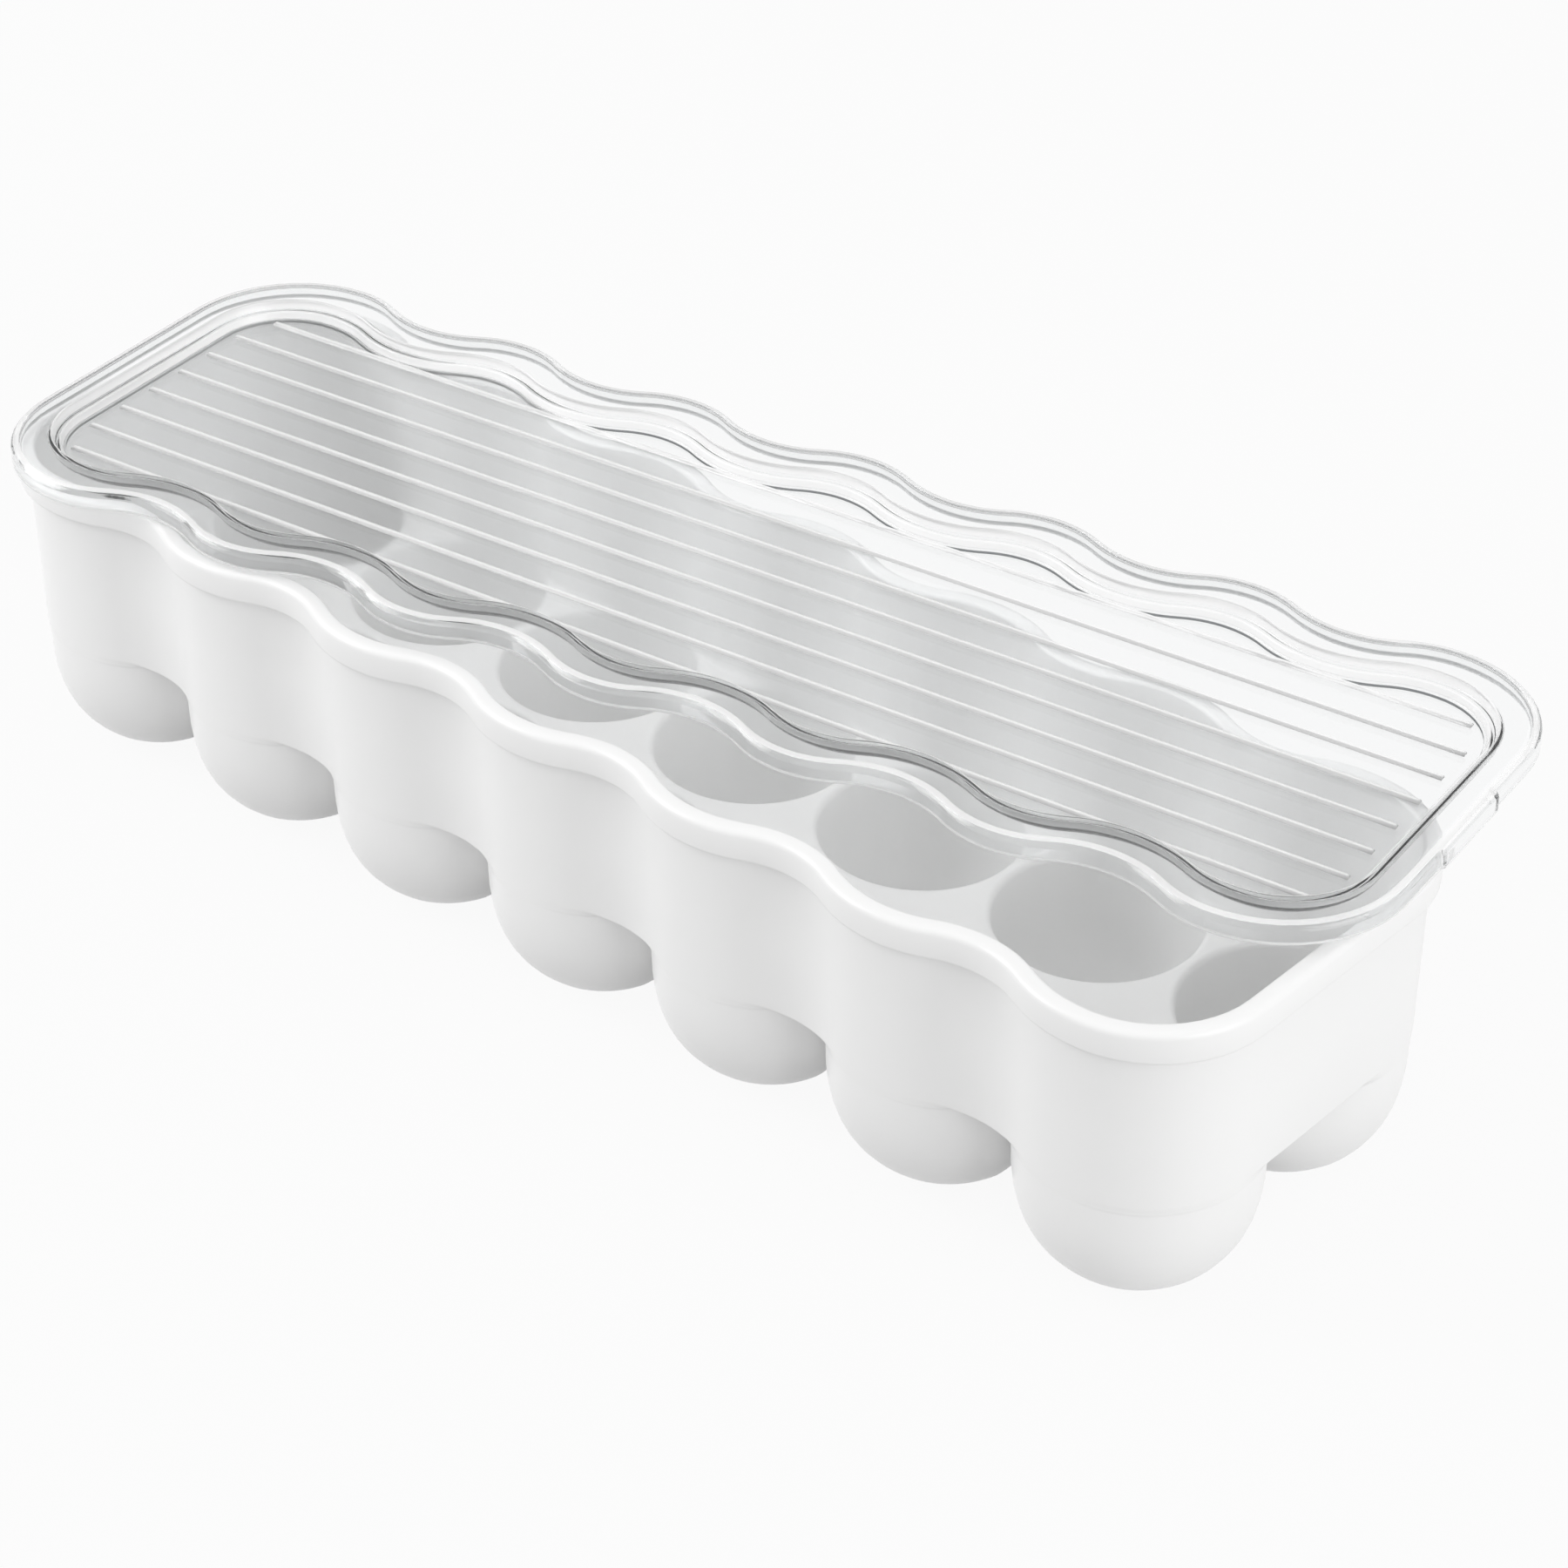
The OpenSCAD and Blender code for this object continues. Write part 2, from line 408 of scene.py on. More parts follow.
class CupCell:
    """Builds one cup with its share of the web, the wall and the rim, in a shared bmesh.

    Where a cup meets the wall, the strip of web between them has no width. There the strip is spread
    over a small height instead, which is the lift.
    """

    BOWL_STEPS = 12
    FILLET_SHARE = 0.8
    STRIP_SHARES = (0.12, 0.5, 1)
    LIFT = 1.5 * MM
    LIFT_AT_FILLET = 0.5

    def __init__(self, mesh, stations):
        self.mesh = mesh
        self.layer = mesh.verts.layers.int["station"]
        self.walls, self.far, self.seam_steps = stations

    def skin(self, skin):
        """Grows one skin from its foot to the web's seams.

        Returns its last loop, and the radius and the lift of the wall's edge at each station.
        """
        ends, radii, edges = skin.spread(self.walls, self.far, self.seam_steps)
        ways = [end.normalized() for end in ends]
        gaps = [end.length - radius for end, radius in zip(ends, radii)]
        fillets = [min(skin.edge, self.FILLET_SHARE * gap) for gap in gaps]
        rings = skin.bowl(self.BOWL_STEPS)
        lifts = [max(0, self.LIFT - gap) for gap in gaps[: len(self.walls)]]
        lifts += [0] * (len(gaps) - len(lifts))

        circle = bmesh.ops.create_circle(self.mesh, cap_ends=True, segments=len(ends), radius=skin.radius)
        vertices = circle["verts"]
        for station, vertex in enumerate(vertices):
            vertex[self.layer] = station
            vertex.co = flat_point(ways[station] * radii[station] * rings[0][0], rings[0][1])
        loop = once(edge for vertex in vertices for edge in vertex.link_edges)
        for share, height in rings[1:]:
            loop = self.grow_ring(loop, lambda s, r=share, h=height: (ways[s] * radii[s] * r, h))

        def on_fillet(station, angle):
            fillet = fillets[station]
            sunk = lifts[station] * (1 - self.LIFT_AT_FILLET * angle / RIGHT_ANGLE)
            return (
                ways[station] * (radii[station] + fillet * (1 - math.cos(angle))),
                skin.web - fillet * (1 - math.sin(angle)) - sunk,
            )

        def on_strip(station, share):
            start = ways[station] * (radii[station] + fillets[station])
            sunk = lifts[station] * self.LIFT_AT_FILLET * (1 - share)
            return start.lerp(ends[station], share), skin.web - sunk

        for angle in FILLET_ANGLES:
            loop = self.grow_ring(loop, lambda s, a=angle: on_fillet(s, a))
        for share in self.STRIP_SHARES:
            loop = self.grow_ring(loop, lambda s, t=share: on_strip(s, t))
        return loop, (edges, lifts)

    def grow_ring(self, loop, position):
        return grow_loop(self.mesh, self.layer, loop, lambda s: flat_point(*position(s)))

    def build(self, dome, cavity, rim):
        """Grows both skins, and the wall and rim between them."""
        outer, outer_edge = self.skin(dome)
        _, inner_edge = self.skin(cavity)
        count = len(self.walls)
        run = [e for e in outer if all(v[self.layer] < count for v in e.verts)]
        for angle in FILLET_ANGLES[1:]:
            run = self.grow_ring(run, self.edge_arc(dome, outer_edge, angle))
        for out, height in rim:
            run = self.grow_ring(run, lambda s, o=out, h=height: (self.wall_point(s, o), h))
        for angle in reversed(FILLET_ANGLES):
            run = self.grow_ring(run, self.edge_arc(cavity, inner_edge, angle))

    def wall_point(self, station, out):
        point, normal = self.walls[station]
        return point + normal * out

    def edge_arc(self, skin, edge, angle):
        """Position on the rounded edge between the wall and the web."""
        radii, lifts = edge
        return lambda s: (
            self.wall_point(s, skin.wall_out - radii[s] * (1 - math.sin(angle))),
            skin.web + radii[s] * (1 - math.cos(angle)) + lifts[s] * angle / RIGHT_ANGLE,
        )


def rim_section(sizes, height):
    """(distance out from the mouth, height) from the foot of the wall over the rim and down inside."""
    wall_top = sizes.wall + OUTER_LEAN["top"]
    band = sizes.rim_out
    band_foot = height - sizes.rim_height
    fillet = 1.2 * MM
    lower_edge = 1.0 * MM
    upper_edge = 1.6 * MM
    inner_edge = 1.0 * MM
    middle = (sizes.web_height + band_foot) / 2
    section = [(sizes.wall + OUTER_LEAN["middle"], middle)]
    section += arc((wall_top + fillet, band_foot - fillet), fillet, math.pi, RIGHT_ANGLE, steps=5)
    section += arc((band - lower_edge, band_foot + lower_edge), lower_edge, -RIGHT_ANGLE, 0, steps=4)
    section += arc((band - upper_edge, height - upper_edge), upper_edge, 0, RIGHT_ANGLE, steps=6)
    section += arc((inner_edge, height - inner_edge), inner_edge, RIGHT_ANGLE, math.pi, steps=5)
    section.append((INNER_LEAN["middle"], middle))
    return section


def tray_mesh(sizes, centre, height):
    """The whole tray, cup by cup."""
    pitch = sizes.cup_pitch
    reach = pitch / 2
    row_half = (sizes.cups_in_row - 1) / 2 * pitch
    corner_y = sizes.half_width - sizes.corner_radius
    end_steps = 8
    half, waists = scalloped_half(
        (sizes.half_width, row_half + sizes.end_reach, sizes.corner_radius, sizes.scallop),
        sizes.cups_in_row, pitch, [corner_y * i / end_steps for i in range(end_steps)],
    )
    dome = CupSkin(
        radius=sizes.dome_radius, base=0, curve_height=sizes.dome_height, web=sizes.web_height,
        wall_out=sizes.wall + OUTER_LEAN["foot"], edge=1.0 * MM, fullness=sizes.fullness,
    )
    cavity = CupSkin(
        radius=sizes.cavity_radius, base=sizes.wall, curve_height=sizes.dome_height - sizes.wall,
        web=sizes.web_height + sizes.wall, wall_out=INNER_LEAN["foot"], edge=1.5 * MM,
        fullness=sizes.fullness,
    )
    rim = rim_section(sizes, height)

    def cell_stations(first, last, axis_x, far):
        """Wall stations of one cup about its axis, the far corners of its web, and its seams' steps."""
        seam_steps = [20, 22, 20]
        axis = Vector((axis_x, reach))
        walls = [(point - axis, normal) for point, normal in half[first : last + 1]]
        return walls, far, seam_steps[: len(far) + 1]

    left_corner = Vector((-reach, -reach))
    right_corner = Vector((reach, -reach))
    end_cell = cell_stations(0, waists[0], row_half, [left_corner])
    inner_cell = cell_stations(waists[0], waists[1], row_half - pitch, [left_corner, right_corner])

    mesh = bmesh.new()
    mesh.verts.layers.int.new("station")
    patterns = []
    for stations in (end_cell, inner_cell):
        known = {*mesh.verts, *mesh.edges, *mesh.faces}
        CupCell(mesh, stations).build(dome, cavity, rim)
        patterns.append([g for g in (*mesh.verts, *mesh.edges, *mesh.faces) if g not in known])
    for cup in range(sizes.cups_in_row):
        pattern = patterns[0 if cup in (0, sizes.cups_in_row - 1) else 1]
        for side in (1, -1):
            copied = bmesh.ops.duplicate(mesh, geom=pattern)["geom"]
            turned = Matrix.Diagonal((-1 if cup == 0 else 1, side, 1, 1))
            place = Matrix.Translation((centre.x + cup * pitch - row_half, centre.y + side * reach, 0))
            moved = [g for g in copied if isinstance(g, bmesh.types.BMVert)]
            bmesh.ops.transform(mesh, matrix=place @ turned, verts=moved)
    unused = [g for pattern in patterns for g in pattern if isinstance(g, bmesh.types.BMVert)]
    bmesh.ops.delete(mesh, geom=unused, context="VERTS")
    bmesh.ops.remove_doubles(mesh, verts=mesh.verts, dist=MERGE_DISTANCE)
    bmesh.ops.recalc_face_normals(mesh, faces=mesh.faces)
    return mesh


# Lid

# Stations along half of the lid's end, as shares of the finger tab's half width
TAB_STOPS = (0, 0.3, 0.6, 0.9, 0.96, 1.04, 1.1, 1.4, 1.7, 2.0)


def lid_section(sizes, base, top):
    """Closed section of the lid's border as (curve, distance out, height, tab's share, white (painted
    highlight) or not).

    The curve is "edge" for the lid's outer outline and "mouth" for the outline of the tray's mouth. The
    strips that end at a white point get a painted highlight: they are painted partly white, as the ribs
    are, to stand in for the glints of light on the lid's roundings.
    """
    wall = sizes.wall
    panel = base + wall
    under = top - wall
    ledge = panel + sizes.ledge_height
    skirt_foot = top - sizes.skirt_height

    # Radii of the bends, and the angles between which they turn
    hollow = 0.5 * MM
    bulge = 0.6 * MM
    channel = 1.0 * MM
    under_ledge = 1.3 * MM
    shoulder = 1.6 * MM
    hollow_turn = (-RIGHT_ANGLE, -0.5)
    bulge_turn = (2.7, RIGHT_ANGLE)
    painted_highlight_turn = (1.3, 0.9)
    skirt_turn = (0.6, 0)

    # Distances out from the mouth's outline
    panel_edge = -5.6 * MM
    panel_bend = -5.5 * MM
    ledge_edge = -4.2 * MM
    ledge_bend = -3.7 * MM
    band_edge = -2.3 * MM
    under_band = -1.3 * MM
    under_panel = -4.4 * MM

    # Distances out from the lid's outer outline
    flat_start = -2.6 * MM
    flat_end = -2.1 * MM
    inside_foot = -1.1 * MM
    channel_end = -3.2 * MM
    section = []

    # Strips marked white get the painted highlight, as the ribs do.
    def add(curve, points, tab=0.0, white=False):
        section.extend((curve, out, height, tab, white) for out, height in points)

    # From the panel up over the ledge to the band
    add("mouth", [(panel_edge, panel)])
    add("mouth", arc((panel_bend, panel + hollow), hollow, *hollow_turn, steps=4))
    # The bulges of the ledge and the band get the painted highlight.
    add("mouth", arc((ledge_edge, ledge - bulge), bulge, *bulge_turn, steps=4), white=True)
    add("mouth", arc((ledge_bend, ledge + hollow), hollow, *hollow_turn, steps=4))
    add("mouth", arc((band_edge, top - bulge), bulge, *bulge_turn, steps=4), white=True)

    # Over the band and down the skirt
    add("edge", [(flat_start, top), (flat_end, top)])
    # The top of the shoulder and the foot of the skirt get the painted highlight.
    add("edge", arc((-shoulder, top - shoulder), shoulder, *painted_highlight_turn, steps=2), 1.0, white=True)
    add("edge", arc((-shoulder, top - shoulder), shoulder, *skirt_turn, steps=4), 1.0)
    add("edge", [(0, skirt_foot + 0.9 * MM)], 1.0)
    add("edge", arc((-hollow, skirt_foot + hollow), hollow, 0, -RIGHT_ANGLE, steps=3), 1.0, white=True)

    # Up inside the skirt, along the channel and back under the panel
    add("edge", arc((inside_foot, skirt_foot + hollow), hollow, -RIGHT_ANGLE, -math.pi, steps=3), 1.0)
    add("edge", arc((-wall - channel, under - channel), channel, 0, RIGHT_ANGLE, steps=4), 0.5)
    add("edge", [(channel_end, under)])
    add("mouth", arc((under_band, under - bulge), bulge, *reversed(bulge_turn), steps=4))
    add("mouth", arc((ledge_bend, base + 2.2 * MM), under_ledge, -0.4, -RIGHT_ANGLE, steps=4))
    add("mouth", arc((under_panel, base + 0.7 * MM), bulge, -0.1, -RIGHT_ANGLE, steps=4))
    add("mouth", [(panel_edge, base)])
    return section


def add_ribs(mesh, sizes):
    """Cuts the rib outlines into the panel's marked top face, raises them, marks them for the painted
    highlight and rounds their edges.
    """
    layer = mesh.faces.layers.int["panel"]
    cut_tolerance = 1e-7
    rounding = 0.6 * MM
    half_rib = sizes.rib_width / 2
    lines = [(i - (sizes.rib_count - 1) / 2) * sizes.rib_pitch for i in range(sizes.rib_count)]

    def cut(faces, point, normal):
        geometry = once(g for face in faces for g in (face, *face.edges, *face.verts))
        bmesh.ops.bisect_plane(mesh, geom=geometry, dist=cut_tolerance, plane_co=point, plane_no=normal)

    def panel_faces(line=None):
        """The panel's top faces, or only those under one rib."""
        tops = [face for face in mesh.faces if face[layer] == PANEL_TOP]
        if line is None:
            return tops
        return [face for face in tops if abs(face.calc_center_bounds().y - line) < half_rib / 2]

    for line in lines:
        for side in (-1, 1):
            cut(panel_faces(), (0, line + side * half_rib, 0), (0, 1, 0))
    footprints = []
    for index, line in enumerate(lines):
        outer = index in (0, len(lines) - 1)
        reach = sizes.rib_half_length - (sizes.rib_step if outer else 0)
        for side in (-1, 1):
            cut(panel_faces(line), (side * reach, 0, 0), (1, 0, 0))
        strip = panel_faces(line)
        footprints += [face for face in strip if abs(face.calc_center_bounds().x) < reach / 2]
    raised = bmesh.ops.extrude_face_region(mesh, geom=footprints)["geom"]
    bmesh.ops.delete(mesh, geom=footprints, context="FACES_ONLY")
    corners = [g for g in raised if isinstance(g, bmesh.types.BMVert)]
    rib_tops = [g for g in raised if isinstance(g, bmesh.types.BMFace)]
    bmesh.ops.translate(mesh, verts=corners, vec=(0, 0, sizes.rib_height))
    # The ribs' tops and sides are marked for the painted highlight.
    for face in rib_tops:
        for vertex in face.verts:
            for side in vertex.link_faces:
                side[layer] = PAINTED_HIGHLIGHT_FACE
    bmesh.ops.bevel(
        mesh, geom=once(edge for face in rib_tops for edge in face.edges), offset=rounding, segments=4,
        profile=0.5, affect="EDGES", material=-1, clamp_overlap=True,
    )


def lid_mesh(sizes, tray, centre, box):
    """The clear lid, swept round its outline and laid askew on the rim."""
    pitch = tray.cup_pitch
    half_tab = sizes.tab_width / 2
    stops = [half_tab * share for share in TAB_STOPS]
    edge, _ = scalloped_half(
        (sizes.half_width, sizes.half_length, sizes.corner_radius, sizes.scallop),
        tray.cups_in_row, pitch, stops,
    )
    mouth_length = (tray.cups_in_row - 1) / 2 * pitch + tray.end_reach
    mouth, _ = scalloped_half(
        (tray.half_width, mouth_length, tray.corner_radius, tray.scallop), tray.cups_in_row, pitch, stops
    )
    curves = {"edge": closed_outline(edge), "mouth": closed_outline(mouth)}
    section = lid_section(sizes, base=box[0].z, top=box[1].z)
    slope_foot = 1.05 * half_tab
    slope_width = 0.08 * half_tab
    end_zone = sizes.half_length - 1.0 * MM

    def tab_share(point):
        """1 on the finger tab at the right end, 0 off it, and between them on its slopes."""
        if point.x < end_zone:
            return 0.0
        return max(0.0, min(1.0, (slope_foot - abs(point.y)) / slope_width))

    def position(station, ring):
        curve, out, height, tab, _ = section[ring]
        point, normal = curves[curve][station]
        if tab:
            out += tab * tab_share(point) * sizes.tab_out
        return flat_point(point + normal * out, height)

    mesh = bmesh.new()
    layer = mesh.verts.layers.int.new("station")
    panel = mesh.faces.layers.int.new("panel")
    count = len(curves["edge"])
    circle = bmesh.ops.create_circle(mesh, cap_ends=True, segments=count, radius=sizes.half_width)
    vertices = circle["verts"]
    for face in mesh.faces:
        face[panel] = PANEL_TOP
    for station, vertex in enumerate(vertices):
        vertex[layer] = station
        vertex.co = position(station, 0)
    loop = once(edge for vertex in vertices for edge in vertex.link_edges)
    for ring in range(1, len(section)):
        loop = grow_loop(mesh, layer, loop, lambda s, r=ring: position(s, r))
        # Strips marked white in the section get the painted highlight.
        for edge in loop:
            edge.link_faces[0][panel] = PAINTED_HIGHLIGHT_FACE if section[ring][-1] else CLEAR_FACE
    for face in bmesh.ops.contextual_create(mesh, geom=loop)["faces"]:
        face[panel] = PANEL_UNDERSIDE
    add_ribs(mesh, sizes)
    bmesh.ops.remove_doubles(mesh, verts=mesh.verts, dist=MERGE_DISTANCE)
    bmesh.ops.recalc_face_normals(mesh, faces=mesh.faces)
    bmesh.ops.rotate(mesh, verts=mesh.verts, cent=(0, 0, 0), matrix=Matrix.Rotation(sizes.turn, 3, "Z"))
    place = (centre.x + sizes.shift[0], centre.y + sizes.shift[1], 0)
    bmesh.ops.translate(mesh, verts=mesh.verts, vec=place)
    return mesh


# Finishes


class Wire:
    """A shader socket that takes arithmetic."""

    def __init__(self, nodes, socket):
        self.nodes = nodes
        self.socket = socket

    def maths(self, operation, first, second):
        return self.nodes.add("ShaderNodeMath", {"operation": operation}, {0: first, 1: second})

    def __mul__(self, other):
        return self.maths("MULTIPLY", self, other)

    __rmul__ = __mul__

    def __add__(self, other):
        return self.maths("ADD", self, other)

    __radd__ = __add__


class Nodes:
    """Adds nodes to one node tree."""

    def __init__(self, tree):
        self.tree = tree
        tree.nodes.clear()

    def add(self, kind, settings=None, inputs=None, output=0):
        """A node of a type, with its settings made first, then its sockets' values or links."""
        node = self.tree.nodes.new(kind)
        for name, value in (settings or {}).items():
            setattr(node, name, value)
        for name, value in (inputs or {}).items():
            if isinstance(value, Wire):
                self.tree.links.new(value.socket, node.inputs[name])
            else:
                node.inputs[name].default_value = value
        if not node.outputs:
            return node
        return Wire(self, node.outputs[output])


def material(name):
    made = bpy.data.materials.new(name)
    made.use_nodes = True
    return made, Nodes(made.node_tree)


def tray_plastic(finishes):
    """White moulded plastic with a faint unevenness in its gloss."""
    made, nodes = material("white_plastic")
    unevenness = 0.08
    ripple_share = 0.8
    place = nodes.add("ShaderNodeTexCoord", output="Object")
    ripple = nodes.add("ShaderNodeTexNoise", inputs={"Vector": place, "Scale": 45.0, "Detail": 2.0})
    grain = nodes.add("ShaderNodeTexNoise", inputs={"Vector": place, "Scale": 900.0, "Detail": 2.0})
    relief = ripple * ripple_share + grain * (1 - ripple_share)
    bump = nodes.add("ShaderNodeBump", inputs={"Strength": 0.08, "Distance": 0.0002, "Height": relief})
    shader = nodes.add(
        "ShaderNodeBsdfPrincipled",
        inputs={
            "Base Color": (*finishes.tray_colour, 1),
            "Roughness": finishes.tray_roughness - unevenness / 2 + ripple * unevenness,
            "IOR": 1.5,
            "Normal": bump,
        },
    )
    nodes.add("ShaderNodeOutputMaterial", inputs={"Surface": shader})
    return made


def lid_plastic(finishes):
    """Clear plastic that lets most of the light through to what lies under it."""
    made, nodes = material("clear_plastic")
    shadow_clearness = 0.9
    place = nodes.add("ShaderNodeTexCoord", output="Object")
    ripple = nodes.add("ShaderNodeTexNoise", inputs={"Vector": place, "Scale": 30.0, "Detail": 1.0})
    bump = nodes.add("ShaderNodeBump", inputs={"Strength": 0.05, "Distance": 0.0002, "Height": ripple})
    glass = nodes.add(
        "ShaderNodeBsdfPrincipled",
        inputs={
            "Base Color": (*finishes.lid_colour, 1),
            "Roughness": finishes.lid_roughness,
            "IOR": finishes.lid_index,
            "Transmission Weight": 1.0,
            "Normal": bump,
        },
    )
    clear = nodes.add("ShaderNodeBsdfTransparent", inputs={"Color": (*finishes.lid_colour, 1)})
    shadow = nodes.add("ShaderNodeLightPath", output="Is Shadow Ray")
    shader = nodes.add("ShaderNodeMixShader", inputs={0: shadow * shadow_clearness, 1: glass, 2: clear})
    depth = nodes.add(
        "ShaderNodeVolumeAbsorption",
        inputs={"Color": (*finishes.lid_depth_colour, 1), "Density": finishes.lid_depth},
    )
    nodes.add("ShaderNodeOutputMaterial", inputs={"Surface": shader, "Volume": depth})
    return made


def painted_highlight_plastic(finishes):
    """The lid's plastic on the ribs and the band's roundings, painted partly white as a highlight that
    stands in for the light they catch.
    """
    made, nodes = material("painted_highlight_plastic")
    shader = nodes.add(
        "ShaderNodeBsdfPrincipled",
        inputs={
            # Painted highlight: a share of white diffuse colour over the clear plastic.
            "Base Color": (*finishes.painted_highlight_colour, 1),
            "Roughness": 0.25,
            "IOR": finishes.lid_index,
            "Transmission Weight": 1 - finishes.painted_highlight_share,
        },
    )
    nodes.add("ShaderNodeOutputMaterial", inputs={"Surface": shader})
    return made


def seen_rays(nodes):
    """1 for what the camera sees, also by a reflection or through the lid, and 0 for soft light."""
    seen = nodes.add("ShaderNodeLightPath", output="Is Camera Ray")
    for kind in ("Is Glossy Ray", "Is Transmission Ray"):
        seen = seen.maths("MAXIMUM", seen, nodes.add("ShaderNodeLightPath", output=kind))
    return seen


def floor_paint(finishes):
    """Pale floor that the camera sees as white where no shadow falls."""
    made, nodes = material("pale_floor")
    white_share = 0.93
    paint = nodes.add("ShaderNodeBsdfDiffuse", inputs={"Color": (*finishes.floor_colour, 1)})
    white = nodes.add("ShaderNodeEmission", inputs={"Color": (1, 1, 1, 1), "Strength": 1.0})
    share = seen_rays(nodes) * white_share
    shader = nodes.add("ShaderNodeMixShader", inputs={0: share, 1: paint, 2: white})
    nodes.add("ShaderNodeOutputMaterial", inputs={"Surface": shader})
    return made


def room_light(strength):
    """World that lights the object softly and is white to the camera.

    Reflections and the view through the lid see it white overhead and darker towards the floor.
    """
    world = bpy.data.worlds.new("soft_light")
    world.use_nodes = True
    nodes = Nodes(world.node_tree)
    direction = nodes.add("ShaderNodeTexCoord", output="Generated")
    height = nodes.add("ShaderNodeSeparateXYZ", inputs={"Vector": direction}, output="Z")
    room = nodes.add(
        "ShaderNodeMapRange", inputs={"Value": height, "From Min": 0.05, "From Max": 0.5, "To Min": 0.3}
    )
    camera = nodes.add("ShaderNodeLightPath", output="Is Camera Ray")
    light = nodes.add("ShaderNodeBackground", inputs={"Color": (1, 1, 1, 1), "Strength": strength})
    white = nodes.add(
        "ShaderNodeBackground",
        inputs={"Color": (1, 1, 1, 1), "Strength": room.maths("MAXIMUM", room, camera)},
    )
    mixed = nodes.add("ShaderNodeMixShader", inputs={0: seen_rays(nodes), 1: light, 2: white})
    nodes.add("ShaderNodeOutputWorld", inputs={"Surface": mixed})
    return world


# Pieces and stage


def finish_piece(name, mesh, paints, body, node):
    """Turns a bmesh into a smooth piece that rides on a body and stands for a CAD node."""
    level = 0.999
    panel = mesh.faces.layers.int.get("panel")
    for face in mesh.faces:
        face.smooth = not (panel and face[panel] and abs(face.normal.z) > level)
        # Faces marked white take the second paint, the painted highlight.
        face.material_index = 1 if panel and face[panel] == PAINTED_HIGHLIGHT_FACE else 0
    data = bpy.data.meshes.new(name)
    mesh.to_mesh(data)
    mesh.free()
    for attribute in [a for a in data.attributes if a.name in ("station", "panel")]:
        data.attributes.remove(attribute)
    for paint in paints:
        data.materials.append(paint)
    piece = bpy.data.objects.new(name, data)
    bpy.context.collection.objects.link(piece)
    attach(piece, body)
    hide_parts(node)


def tray_centre():
    """Middle of the tray, seen from above."""
    low, high = TRAY_BOX
    return Vector(((low.x + high.x) / 2, (low.y + high.y) / 2))


def add_lamp(name, place, size, power):
    """A rectangular lamp that shines at the object."""
    data = bpy.data.lights.new(name, "AREA")
    data.shape = "RECTANGLE"
    data.size, data.size_y = size
    data.energy = power
    lamp = bpy.data.objects.new(name, data)
    lamp.location = place
    lamp.rotation_euler = (-Vector(place)).to_track_quat("-Z", "Y").to_euler()
    bpy.context.collection.objects.link(lamp)


def add_floor(side, paint):
    mesh = bmesh.new()
    bmesh.ops.create_grid(mesh, x_segments=1, y_segments=1, size=side / 2)
    data = bpy.data.meshes.new("floor")
    mesh.to_mesh(data)
    mesh.free()
    data.materials.append(paint)
    floor = bpy.data.objects.new("floor", data)
    bpy.context.collection.objects.link(floor)


def add_camera(stage):
    lens = bpy.data.cameras.new("camera")
    lens.lens = stage.lens
    lens.sensor_width = 36
    lens.clip_start = 0.01
    camera = bpy.data.objects.new("camera", lens)
    camera.location = stage.camera_place
    camera.rotation_euler = Euler((RIGHT_ANGLE - stage.camera_elevation, 0, stage.camera_azimuth))
    bpy.context.collection.objects.link(camera)
    return camera


class OBJECT_OT_cup_tray(bpy.types.Operator):
    """Build the tray with its cups and rim"""

    bl_idname = "object.cup_tray_shell"
    bl_label = "Tray"

    def execute(self, context):
        scene = context.scene
        mesh = tray_mesh(scene.tray_sizes, tray_centre(), TRAY_BOX[1].z)
        paints = [tray_plastic(scene.finishes)]
        finish_piece("tray_shell", mesh, paints, "tray", "egg_tray")
        return {"FINISHED"}


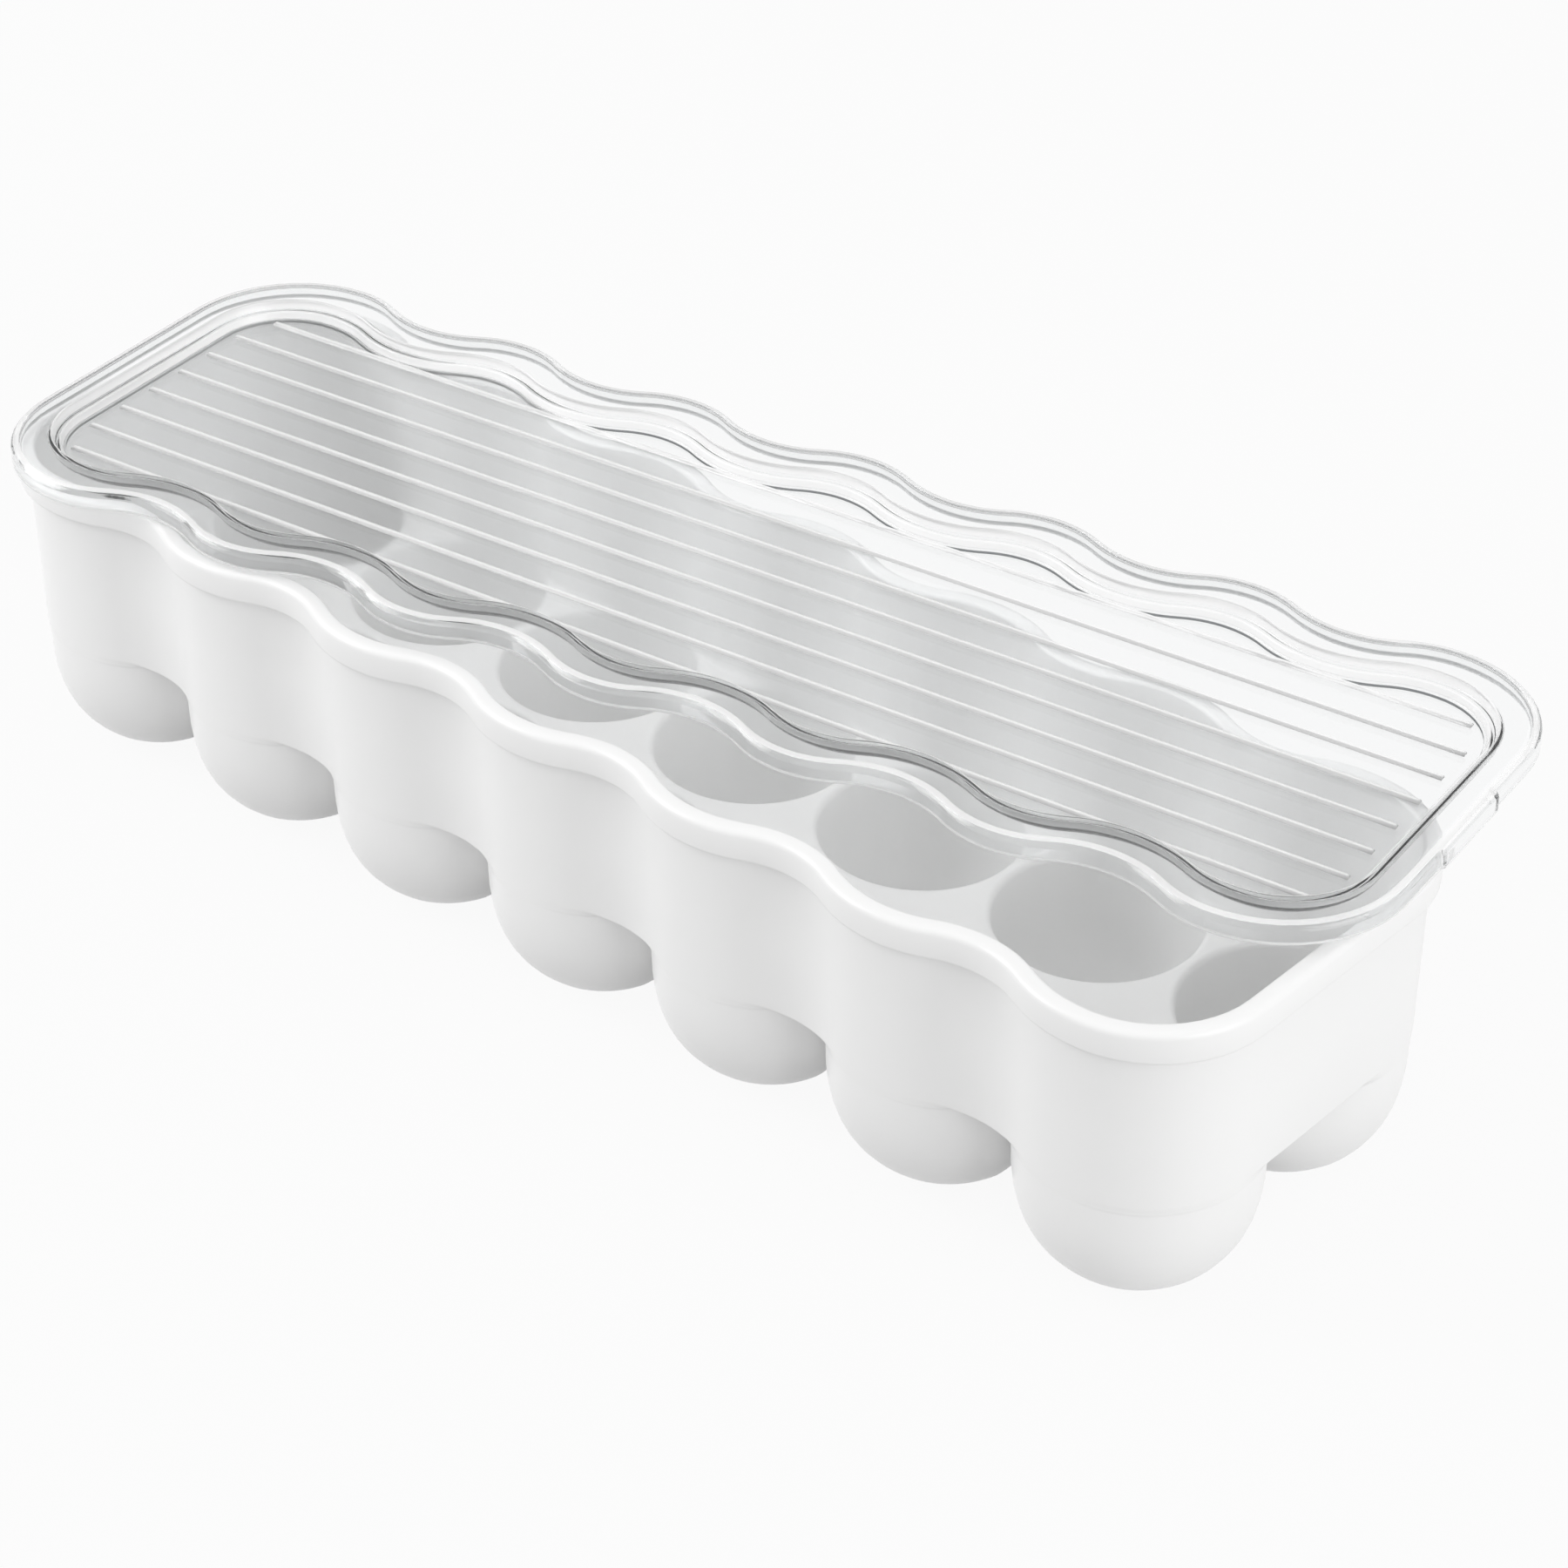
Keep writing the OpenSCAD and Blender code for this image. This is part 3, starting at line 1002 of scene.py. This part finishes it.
class OBJECT_OT_clear_lid(bpy.types.Operator):
    """Build the clear lid with its ribs and finger tab"""

    bl_idname = "object.cup_tray_lid"
    bl_label = "Lid"

    def execute(self, context):
        scene = context.scene
        mesh = lid_mesh(scene.lid_sizes, scene.tray_sizes, tray_centre(), LID_BOX)
        # The second paint is the painted highlight on the ribs and the band's roundings.
        paints = [lid_plastic(scene.finishes), painted_highlight_plastic(scene.finishes)]
        finish_piece("lid_shell", mesh, paints, "lid", "lid")
        return {"FINISHED"}


class OBJECT_OT_tray_stage(bpy.types.Operator):
    """Build the floor, the lamps and the camera"""

    bl_idname = "object.cup_tray_stage"
    bl_label = "Stage"

    def execute(self, context):
        scene = context.scene
        stage = scene.stage_sizes
        add_floor(stage.floor_size, floor_paint(scene.finishes))
        add_lamp("key_lamp", place=(-1.2, -0.85, 0.9), size=(1.0, 1.0), power=stage.key_power)
        add_lamp("fill_lamp", place=(1.8, -0.1, 0.7), size=(1.4, 1.2), power=stage.fill_power)
        add_lamp("back_lamp", place=(0.2, 1.6, 1.1), size=(1.6, 0.8), power=stage.back_power)
        scene.world = room_light(stage.soft_light)
        scene.camera = add_camera(stage)
        scene.view_settings.view_transform = "Standard"
        return {"FINISHED"}


class VIEW3D_PT_cup_tray(bpy.types.Panel):
    """Buttons for the pieces and the stage"""

    bl_idname = "VIEW3D_PT_cup_tray"
    bl_label = "Cup Tray"
    bl_space_type = "VIEW_3D"
    bl_region_type = "UI"
    bl_category = "Cup Tray"

    def draw(self, context):
        for operator in OPERATORS:
            self.layout.operator(operator.bl_idname)


GROUPS = {
    "tray_sizes": TraySizes,
    "lid_sizes": LidSizes,
    "finishes": Finishes,
    "stage_sizes": StageSizes,
}
OPERATORS = (OBJECT_OT_cup_tray, OBJECT_OT_clear_lid, OBJECT_OT_tray_stage)
CLASSES = (*GROUPS.values(), *OPERATORS, VIEW3D_PT_cup_tray)


def register():
    for cls in CLASSES:
        bpy.utils.register_class(cls)
    for name, group in GROUPS.items():
        setattr(bpy.types.Scene, name, bpy.props.PointerProperty(type=group))


def unregister():
    for name in GROUPS:
        delattr(bpy.types.Scene, name)
    for cls in reversed(CLASSES):
        bpy.utils.unregister_class(cls)


def main():
    register()
    bpy.ops.object.cup_tray_shell()
    bpy.ops.object.cup_tray_lid()
    bpy.ops.object.cup_tray_stage()


if __name__ == "__main__":
    main()
